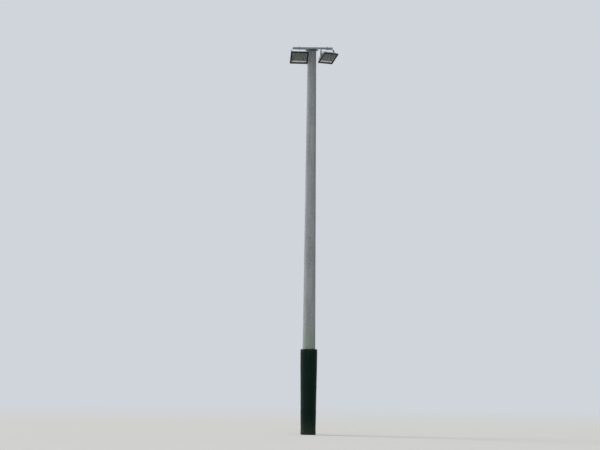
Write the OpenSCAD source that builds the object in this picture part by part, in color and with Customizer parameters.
// Sports-ground floodlight pole: a spun concrete pole from ground level up, a square-tube
// crossarm in a bolted band clamp at its top, two aimed LED floodlights hung in yokes,
// and a wrapped protective pad round the foot.
// Millimetres. +Z is up, the lamps face -Y, and the origin is the centre of the pole at ground level.

/* [Pole] */
// Height of the pole above the ground
pole_h = 8500; // [6000:100:12000]
// Diameter at the top
pole_top_d = 190; // [160:5:220]
// Height over which the diameter grows by one millimetre
pole_taper = 75; // [60:5:110]
// Thickness of the spun concrete wall
pole_wall = 55; // [40:1:65]
// Thickness of the closed disc at ground level
pole_foot_t = 120; // [60:10:300]
// Chamfer round the pole's top rim
pole_chamfer = 5; // [2:1:10]
// Depth of the mortar plug in the top of the bore
cap_depth = 70; // [30:5:150]
// Rise of the plug's dome above the rim
cap_rise = 9; // [4:1:20]

/* [Foot pad] */
// Top of the pad above the ground
pad_top_z = 1875; // [1200:25:2400]
// Gap under the pad
pad_foot_gap = 5; // [3:1:40]
// Thickness of the wrapped pad at its foot
pad_foot_t = 19; // [12:1:60]
// Thickness of the wrapped pad at its top
pad_head_t = 46; // [12:1:60]
// Gap between the two edges of the wrapped pad
pad_slit = 8; // [4:1:30]
// Width of the closing flap, round the pad
flap_w = 90; // [40:5:160]
// Thickness of the closing flap
flap_t = 4; // [2:0.5:8]

/* [Crossarm] */
// Length of the crossarm
arm_l = 870; // [760:10:1400]
// Side of the square tube
arm_w = 40; // [30:5:60]
// Wall of the square tube
arm_wall = 3; // [2:0.5:5]
// Corner radius of the square tube
arm_corner = 5; // [3.5:0.5:8]
// Sideways offset of the crossarm's middle from the pole
arm_offset = 20; // [0:5:60]
// Depth of the crossarm's centre line below the pole's top
arm_drop = 15; // [10:5:400]
// Gap between the clamp band and the back of the crossarm
arm_stand = 60; // [46:2:90]

/* [Band clamp] */
// Height of the clamp band
band_h = 30; // [28:2:80]
// Thickness of the clamp band
band_t = 6; // [4:1:10]
// Reach of each ear beyond the band
ear_reach = 35; // [35:5:70]
// Gap between the two halves' ears
ear_gap = 12; // [6:1:20]
// Half the spacing of the two gusset plates
gusset_x = 45; // [30:5:70]
// Thickness of each gusset plate
gusset_t = 6; // [4:1:10]
// Diameter of the clamp bolts
clamp_bolt_d = 12; // [8:1:16]

/* [Yoke] */
// Distance between the two lamps' pan bolts
lamp_pitch = 620; // [616:4:900]
// Sideways offset of the middle between the lamps from the pole
lamp_offset = 30; // [0:5:60]
// Width of the yoke's flat bar
yoke_bar_w = 35; // [25:1:50]
// Thickness of the yoke's flat bar
yoke_bar_t = 6; // [3:0.5:8]
// Outer radius of the yoke's two bends
yoke_bend_r = 45; // [15:5:60]
// Drop from the yoke's top face to the tilt axis
yoke_drop = 165; // [161:1:240]
// Diameter of the pan bolts
pan_bolt_d = 12; // [8:1:16]
// Diameter of the tilt bolts
tilt_bolt_d = 8; // [6:1:12]

/* [Lamp] */
// Width of the front frame
lamp_w = 400; // [380:5:420]
// Height of the front frame
lamp_h = 310; // [270:5:315]
// Corner radius of the front frame
lamp_corner = 14; // [12:1:30]
// Distance from the tilt axis forward to the frame's front face
face_n = 60; // [54:1:80]
// Thickness of the front frame
frame_t = 18; // [14:1:24]
// Width of the frame round the glass
frame_border = 30; // [24:1:36]
// Chamfer round the frame's front edge
frame_chamfer = 4; // [2:0.5:6]
// Thickness of the glass
glass_t = 4; // [3:0.5:6]
// Thickness of the gasket behind the glass
gasket_t = 3; // [2:0.5:4]
// Number of cooling fins between the two end cheeks
fin_n = 17; // [9:2:23]
// Thickness of a cooling fin
fin_t = 3; // [2:0.5:5]
// Wall of the die-cast housing
shell_t = 4; // [3:0.5:6]
// Reach of each side boss beyond the housing's back
boss_reach = 9; // [7:0.5:16]
// Depth of the cooling fins behind the back plate
fin_depth = 40; // [20:2:44]
// Columns of light strips on the lamp's board
strip_n = 6; // [4:1:10]

/* [Aim] */
// Left lamp turned towards the pole's right
left_pan = 8; // [-60:1:45]
// Left lamp tilted down
left_tilt = 37; // [0:1:60]
// Right lamp turned to the right
right_pan = 38; // [-45:1:60]
// Right lamp tilted down
right_tilt = 48; // [0:1:72]

/* [Hidden] */
$fn = 72;
SIDES = ["left", "right"];
LAMP_NODES = ["pan_bolt", "yoke", "tilt_bolts", "housing", "frame", "glass", "gasket",
    "reflector", "led_board", "driver_cover", "cable_gland"];

// Gap between faces that pass each other or are bolted together across a joint
seat = 0.3;
// Gap between a bolt and its hole
bolt_play = 0.5;
// Shortest overlap that fuses two shapes of one piece
bite = 0.5;

// Pole
function pole_r(z) = pole_top_d / 2 + (pole_h - z) / pole_taper / 2;
bore_top_r = pole_top_d / 2 - pole_wall;

// Foot pad
function pad_r(z) = pole_r(z)
    + pad_foot_t + (pad_head_t - pad_foot_t) * (z - pad_foot_gap) / (pad_top_z - pad_foot_gap);

// Band clamp and crossarm
arm_z = pole_h - arm_drop;
arm_low_z = arm_z - arm_w / 2;
band_lap = 15;
band_top_z = arm_low_z + band_lap;
band_low_z = band_top_z - band_h;
band_in_r = pole_r(band_low_z) + 0.1;
band_out_r = band_in_r + band_t;
ear_end_x = band_out_r + ear_reach;
clamp_bolt_x = band_out_r + ear_reach * 0.45;
clamp_bolt_z = (band_low_z + band_top_z) / 2;
arm_back_n = band_out_r + arm_stand;
arm_mid_n = arm_back_n + arm_w / 2;

// Lamp, in forward distances from the tilt axis
frame_back_n = face_n - frame_t;
lip_n = face_n - 6;
glass_back_n = lip_n - glass_t;
rim_n = glass_back_n - gasket_t;
open_w = lamp_w - 2 * frame_border;
open_h = lamp_h - 2 * frame_border;
pocket_w = open_w + 12;
pocket_h = open_h + 12;
glass_w = pocket_w - 2;
glass_h = pocket_h - 2;
cavity_w = open_w - 12;
cavity_h = open_h - 12;
flange_n = frame_back_n - 8;
back_n = 2;
floor_n = back_n + 6;
board_t = 2;
body_back_w = cavity_w + 2 * shell_t;
body_back_h = cavity_h + 2 * shell_t;
body_front_w = body_back_w + 10;
body_front_h = body_back_h + 10;
cheek_t = 8;
screw_x = (lamp_w - frame_border) / 2;
screw_z = (lamp_h - frame_border) / 2;
screw_boss_d = 12;
boss_back = 10;
boss_d = 40;
boss_x = body_back_w / 2 + boss_reach;
driver_w = 190;
driver_h = 104;
driver_low_z = -body_back_h / 2;
driver_rear_n = back_n - fin_depth - 2;
cover_t = 3;
gland_bore_r = 4.5;
gland_l = 24;

// Reflector, a sloping frame of thin sheet from the board to the glass
sheet_t = 1.5;
reflector_w = cavity_w - 4;
reflector_h = cavity_h - 4;
slope = 15;
floor_w = reflector_w - 2 * slope - 2 * sheet_t;
floor_h = reflector_h - 2 * slope - 2 * sheet_t;

// Yoke, from its top face at the pan bolt
yoke_half = boss_x + seat + yoke_bar_t;
yoke_top_z = arm_low_z - seat;
slot_x = yoke_half * 0.38;
slot_l = 26;
slot_w = 9;

function arm_x(side) = lamp_offset + (side == "left" ? -1 : 1) * lamp_pitch / 2;
function pan(side) = side == "left" ? left_pan : right_pan;
function tilt(side) = side == "left" ? left_tilt : right_tilt;

// Shared shapes

// Rectangle centred on the origin with round corners
module round_rect(w, h, r) {
    square([w - 2 * r, h], center = true);
    square([w, h - 2 * r], center = true);
    for (x = [-1, 1], y = [-1, 1])
        translate([x * (w / 2 - r), y * (h / 2 - r)]) circle(r);
}

// Slot along X with round ends
module slot(l, w) {
    square([l - w, w], center = true);
    for (s = [-1, 1]) translate([s * (l - w) / 2, 0]) circle(d = w);
}

// Outline in X and Z pushed forward from n0 to n1
module forward(n0, n1) {
    translate([0, -n0, 0]) rotate([90, 0, 0]) linear_extrude(height = n1 - n0) children();
}

// Outline in Y and Z pushed along X, centred
module across(t) {
    translate([-t / 2, 0, 0]) rotate([90, 0, 90]) linear_extrude(height = t) children();
}

// Block that runs straight from one rectangle at n0 to another at n1
module taper_block(w0, h0, n0, w1, h1, n1) {
    reach = max(w0, h0, w1, h1) + 2;
    intersection() {
        translate([0, 0, -reach / 2]) linear_extrude(height = reach)
            polygon([[-w0 / 2, -n0], [w0 / 2, -n0], [w1 / 2, -n1], [-w1 / 2, -n1]]);
        across(reach)
            polygon([[-n0, -h0 / 2], [-n0, h0 / 2], [-n1, h1 / 2], [-n1, -h1 / 2]]);
    }
}

// Rounded slab from n0 to n1 whose front edge has a chamfer c
module bevelled_slab(w, h, r, n0, n1, c) {
    forward(n0, n1 - c) round_rect(w, h, r);
    taper_block(w, h - 2 * r, n1 - c, w - 2 * c, h - 2 * r, n1);
    taper_block(w - 2 * r, h, n1 - c, w - 2 * r, h - 2 * c, n1);
    for (x = [-1, 1], z = [-1, 1])
        translate([x * (w / 2 - r), -(n1 - c), z * (h / 2 - r)])
            rotate([90, 0, 0]) cylinder(h = c, r1 = r, r2 = r - c);
}

// Hexagon-headed bolt along +Z from the head's underside at 0, with a washer under the head
module hex_bolt(d, length, head_h, washer_t, washer_k = 2.2) {
    translate([0, 0, -washer_t]) cylinder(h = washer_t, d = d * washer_k);
    translate([0, 0, -washer_t - head_h]) cylinder(h = head_h, d = d * 2, $fn = 6);
    translate([0, 0, -washer_t]) cylinder(h = length + washer_t, d = d);
}

// Washer and nut whose seat is at z = 0, nut upwards
module hex_nut(d, nut_h, washer_t) {
    cylinder(h = washer_t, d = d * 2.2);
    cylinder(h = washer_t + nut_h, d = d * 2, $fn = 6);
}

// Places

// Carries a yoke: its origin is the yoke's top face on the pan axis
module at_yoke(side) {
    translate([arm_x(side), -arm_mid_n, yoke_top_z]) rotate([0, 0, pan(side)]) children();
}

// Carries a lamp: its origin is the middle of the tilt axis
module at_lamp(side) {
    at_yoke(side) translate([0, 0, -yoke_drop]) rotate([tilt(side), 0, 0]) children();
}

// Pole and pad

module pole() {
    color("#93908a") rotate_extrude($fn = 96)
        polygon([
            [0, 0], [pole_r(0), 0],
            [pole_r(pole_h - pole_chamfer), pole_h - pole_chamfer],
            [pole_top_d / 2 - pole_chamfer, pole_h],
            [bore_top_r, pole_h],
            [pole_r(pole_foot_t) - pole_wall, pole_foot_t], [0, pole_foot_t]
        ]);
}

module pole_cap() {
    rim_r = bore_top_r + 14;
    plug_r = bore_top_r;
    low_z = pole_h - cap_depth;
    color("#a5a198") rotate_extrude()
        polygon([
            [0, low_z], [plug_r, low_z], [plug_r, pole_h], [rim_r, pole_h],
            [rim_r - 6, pole_h + cap_rise * 0.6], [rim_r * 0.5, pole_h + cap_rise], [0, pole_h + cap_rise]
        ]);
}

// Sleeve wrapped round the pole, with its two edges meeting under the flap at the back
module base_pad() {
    gap = 0.3;
    color("#15302c") difference() {
        rotate_extrude() polygon([
            [pole_r(pad_foot_gap) + gap, pad_foot_gap], [pad_r(pad_foot_gap), pad_foot_gap],
            [pad_r(pad_top_z), pad_top_z], [pole_r(pad_top_z) + gap, pad_top_z]
        ]);
        translate([-pad_slit / 2, 0, 0]) cube([pad_slit, 2 * pad_r(pad_top_z), pad_top_z + 1]);
    }
}

module pad_flap() {
    sweep = flap_w / (2 * PI * pad_r(pad_top_z)) * 360;
    inset = 12;
    low_z = pad_foot_gap + inset;
    high_z = pad_top_z - inset;
    color("#10211e") rotate([0, 0, 90 - sweep / 2]) rotate_extrude(angle = sweep)
        polygon([
            [pad_r(low_z) + seat, low_z], [pad_r(low_z) + seat + flap_t, low_z],
            [pad_r(high_z) + seat + flap_t, high_z], [pad_r(high_z) + seat, high_z]
        ]);
}

// Crossarm and clamp

module crossarm() {
    color("#7f8890") difference() {
        translate([arm_offset, -arm_mid_n, arm_z]) across(arm_l) difference() {
            round_rect(arm_w, arm_w, arm_corner);
            round_rect(arm_w - 2 * arm_wall, arm_w - 2 * arm_wall, arm_corner - arm_wall);
        }
        for (side = SIDES)
            translate([arm_x(side), -arm_mid_n, arm_low_z - 1]) cylinder(h = arm_w + 2, d = pan_bolt_d + bolt_play);
    }
}

// Plastic plug in one end of the tube, with its face outwards along +X
module arm_plug(end) {
    inner = arm_w - 2 * arm_wall - 2 * seat;
    color("#1b1c1e") translate([arm_offset + end * arm_l / 2, -arm_mid_n, arm_z]) mirror([end < 0 ? 1 : 0, 0, 0]) {
        translate([1.5, 0, 0]) across(3) round_rect(arm_w, arm_w, arm_corner);
        translate([-9.5, 0, 0]) across(21) round_rect(inner, inner, arm_corner - arm_wall);
    }
}

// Half of the band with its two ears, on the -Y side
module half_band() {
    ear_y = ear_gap / 2;
    difference() {
        union() {
            difference() {
                translate([0, 0, band_low_z]) cylinder(h = band_h, r = band_out_r);
                translate([-band_out_r - 1, -ear_y, band_low_z - 1])
                    cube([2 * band_out_r + 2, 2 * band_out_r, band_h + 2]);
            }
            for (s = [-1, 1])
                translate([s < 0 ? -ear_end_x : band_in_r, -ear_y - band_t, band_low_z])
                    cube([ear_end_x - band_in_r, band_t, band_h]);
        }
        translate([0, 0, band_low_z - 1]) cylinder(h = band_h + 2, r = band_in_r);
        for (s = [-1, 1])
            translate([s * clamp_bolt_x, 0, clamp_bolt_z]) rotate([90, 0, 0])
                cylinder(h = ear_y + band_t + 1, d = clamp_bolt_d + bolt_play);
    }
}

// Plate from the band to the crossarm's back, with a shelf under the tube
module gusset() {
    start_n = sqrt(pow(band_in_r + band_t / 2, 2) - pow(gusset_x, 2));
    shelf_n = arm_back_n + arm_w;
    across(gusset_t) polygon([
        [-start_n, band_low_z], [-start_n, band_top_z],
        [-arm_back_n, arm_z + arm_w / 4], [-arm_back_n, arm_low_z],
        [-shelf_n, arm_low_z], [-shelf_n, arm_low_z - 8], [-arm_back_n - 2, band_low_z]
    ]);
}

module clamp_front() {
    color("#2a2d31") {
        half_band();
        for (s = [-1, 1]) translate([s * gusset_x, 0, 0]) gusset();
    }
}

module clamp_back() {
    color("#2a2d31") rotate([0, 0, 180]) half_band();
}

module clamp_bolt(s) {
    grip = ear_gap + 2 * band_t;
    color("#9aa0a4") translate([s * clamp_bolt_x, -grip / 2, clamp_bolt_z]) rotate([-90, 0, 0]) {
        hex_bolt(clamp_bolt_d, grip + 22, 7.5, 2.5);
        translate([0, 0, grip]) hex_nut(clamp_bolt_d, 10, 2.5);
    }
}

// Yoke and its bolts, from the yoke's top face

module pan_bolt(side) {
    stack = yoke_bar_t + 2 * seat + arm_w;
    color("#9aa0a4") at_yoke(side) translate([0, 0, -yoke_bar_t - seat]) {
        hex_bolt(pan_bolt_d, stack + 18, 7.5, 3, 3.4);
        translate([0, 0, stack]) hex_nut(pan_bolt_d, 10, 2.5);
    }
}

module yoke(side) {
    flat = yoke_half - yoke_bend_r;
    color("#24262a") at_yoke(side) difference() {
        union() {
            translate([-flat - bite, -yoke_bar_w / 2, -yoke_bar_t]) cube([2 * (flat + bite), yoke_bar_w, yoke_bar_t]);
            for (s = [-1, 1]) {
                translate([s * flat, yoke_bar_w / 2, -yoke_bend_r]) rotate([90, 0, 0])
                    intersection() {
                        difference() {
                            cylinder(h = yoke_bar_w, r = yoke_bend_r);
                            translate([0, 0, -1]) cylinder(h = yoke_bar_w + 2, r = yoke_bend_r - yoke_bar_t);
                        }
                        translate([s < 0 ? -yoke_bend_r - 1 : 0, 0, -1])
                            cube([yoke_bend_r + 1, yoke_bend_r + 1, yoke_bar_w + 2]);
                    }
                translate([s * (yoke_half - yoke_bar_t / 2), 0, 0]) across(yoke_bar_t) {
                    translate([-yoke_bar_w / 2, -yoke_drop])
                        square([yoke_bar_w, yoke_drop - yoke_bend_r + bite]);
                    translate([0, -yoke_drop]) circle(d = yoke_bar_w);
                }
            }
        }
        translate([0, 0, -yoke_bar_t - 1]) cylinder(h = yoke_bar_t + 2, d = pan_bolt_d + 2 * bolt_play);
        for (s = [-1, 1])
            translate([s * slot_x, 0, -yoke_bar_t - 1]) linear_extrude(height = yoke_bar_t + 2) slot(slot_l, slot_w);
        translate([-yoke_half - 1, 0, -yoke_drop]) rotate([0, 90, 0])
            cylinder(h = 2 * yoke_half + 2, d = tilt_bolt_d + 2 * bolt_play);
    }
}

// The two bolts that clamp the yoke's arms to the housing's bosses
module tilt_bolts(side) {
    color("#9aa0a4") at_lamp(side) for (s = [-1, 1])
        translate([s * (yoke_half + seat), 0, 0]) rotate([0, -s * 90, 0])
            hex_bolt(tilt_bolt_d, yoke_half + seat - boss_x + 16, 5.5, 1.6);
}

// Lamp pieces, from the tilt axis

// Side view of a fin, from inside the back plate to its rounded rear corners
module fin_outline() {
    rear = fin_depth - back_n;
    r = fin_depth / 2 - 2;
    half = body_back_h / 2;
    translate([-back_n - bite, -half]) square([rear - r + back_n + bite, 2 * half]);
    translate([-back_n - bite, r - half]) square([rear + back_n + bite, 2 * (half - r)]);
    for (s = [-1, 1]) translate([rear - r, s * (half - r)]) circle(r);
}

module fins() {
    span = body_back_w - 2 * cheek_t;
    for (i = [1 : fin_n])
        translate([-span / 2 + i * span / (fin_n + 1), 0, 0]) across(fin_t) fin_outline();
    for (s = [-1, 1])
        translate([s * (body_back_w - cheek_t) / 2, 0, 0]) across(cheek_t) fin_outline();
}

// Round bosses behind the flange that take the frame's screws
module screw_bosses() {
    for (x = [-1, 1], z = [-1, 1]) {
        translate([x * screw_x, -(flange_n - boss_back), z * screw_z]) rotate([90, 0, 0])
            cylinder(h = boss_back + bite, d = screw_boss_d);
        translate([x * screw_x * 0.36, -(flange_n - boss_back), z * screw_z]) rotate([90, 0, 0])
            cylinder(h = boss_back + bite, d = screw_boss_d);
    }
    for (x = [-1, 1])
        translate([x * screw_x, -(flange_n - boss_back), 0]) rotate([90, 0, 0])
            cylinder(h = boss_back + bite, d = screw_boss_d);
}

module housing(side) {
    color("#9ea1a5") at_lamp(side) difference() {
        union() {
            forward(frame_back_n - bite, rim_n) round_rect(pocket_w - 2, pocket_h - 2, 8);
            forward(flange_n, frame_back_n) round_rect(lamp_w - 8, lamp_h - 8, lamp_corner - 4);
            taper_block(body_back_w, body_back_h, back_n, body_front_w, body_front_h, flange_n + bite);
            fins();
            screw_bosses();
            translate([0, 0, driver_low_z + driver_h / 2])
                forward(driver_rear_n, back_n + bite) round_rect(driver_w, driver_h, 8);
            for (s = [-1, 1])
                translate([s * (boss_x - 15), 0, 0]) rotate([0, s * 90, 0]) cylinder(h = 15, d = boss_d);
        }
        forward(floor_n, rim_n + 1) round_rect(cavity_w, cavity_h, 6);
        for (s = [-1, 1])
            translate([s * (boss_x + 1), 0, 0]) rotate([0, -s * 90, 0]) cylinder(h = 18, d = tilt_bolt_d + 0.1);
    }
}

module frame(side) {
    color("#141516") at_lamp(side) difference() {
        bevelled_slab(lamp_w, lamp_h, lamp_corner, frame_back_n, face_n, frame_chamfer);
        forward(frame_back_n - 1, face_n + 1) round_rect(open_w, open_h, 7);
        forward(frame_back_n - 1, lip_n) round_rect(pocket_w, pocket_h, 9);
    }
}

module glass(side) {
    color("#9fb0b0", 0.4) at_lamp(side) forward(glass_back_n, lip_n) round_rect(glass_w, glass_h, 8);
}

module gasket(side) {
    color("#0c0c0c") at_lamp(side) forward(rim_n, glass_back_n) difference() {
        round_rect(glass_w, glass_h, 8);
        round_rect(cavity_w, cavity_h, 6);
    }
}

module reflector(side) {
    board_n = floor_n + board_t;
    lip = 2 * sheet_t;
    color("#c9ccce") at_lamp(side) difference() {
        taper_block(floor_w + lip, floor_h + lip, board_n, reflector_w, reflector_h, rim_n);
        taper_block(floor_w, floor_h, board_n - bite, reflector_w - lip, reflector_h - lip, rim_n + bite);
    }
}

module led_board(side) {
    board_w = cavity_w - 20;
    board_h = cavity_h - 20;
    strip_pitch = floor_w / (strip_n + 0.5);
    strip_h = floor_h - 12;
    color("#5d5f55") at_lamp(side) {
        forward(floor_n, floor_n + board_t) round_rect(board_w, board_h, 3);
        for (i = [0 : strip_n - 1])
            translate([(i - (strip_n - 1) / 2) * strip_pitch, 0, 0])
                forward(floor_n + board_t - bite, floor_n + board_t + 1.5) square([12, strip_h], center = true);
    }
}

module driver_cover(side) {
    color("#9ea1a5") at_lamp(side) translate([0, 0, driver_low_z + driver_h / 2])
        forward(driver_rear_n - cover_t, driver_rear_n) round_rect(driver_w - 10, driver_h - 10, 6);
}

module cable_gland(side) {
    color("#17181a") at_lamp(side)
        translate([driver_w * 0.28, -(driver_rear_n + back_n) / 2, driver_low_z]) rotate([180, 0, 0]) difference() {
            union() {
                cylinder(h = 8, d = 25, $fn = 6);
                cylinder(h = 18, d = 19);
                translate([0, 0, 18]) cylinder(h = gland_l - 18, r1 = 9.5, r2 = 6.5);
            }
            translate([0, 0, -1]) cylinder(h = gland_l + 2, r = gland_bore_r);
        }
}

pole();
pole_cap();
base_pad();
pad_flap();
crossarm();
arm_plug(-1);  // arm_plug_left
arm_plug(1);  // arm_plug_right
clamp_front();
clamp_back();
clamp_bolt(-1);  // clamp_bolt_left
clamp_bolt(1);  // clamp_bolt_right
for (side = SIDES) {
    pan_bolt(side);
    yoke(side);
    tilt_bolts(side);
    housing(side);
    frame(side);
    glass(side);
    gasket(side);
    reflector(side);
    led_board(side);
    driver_cover(side);
    cable_gland(side);
}
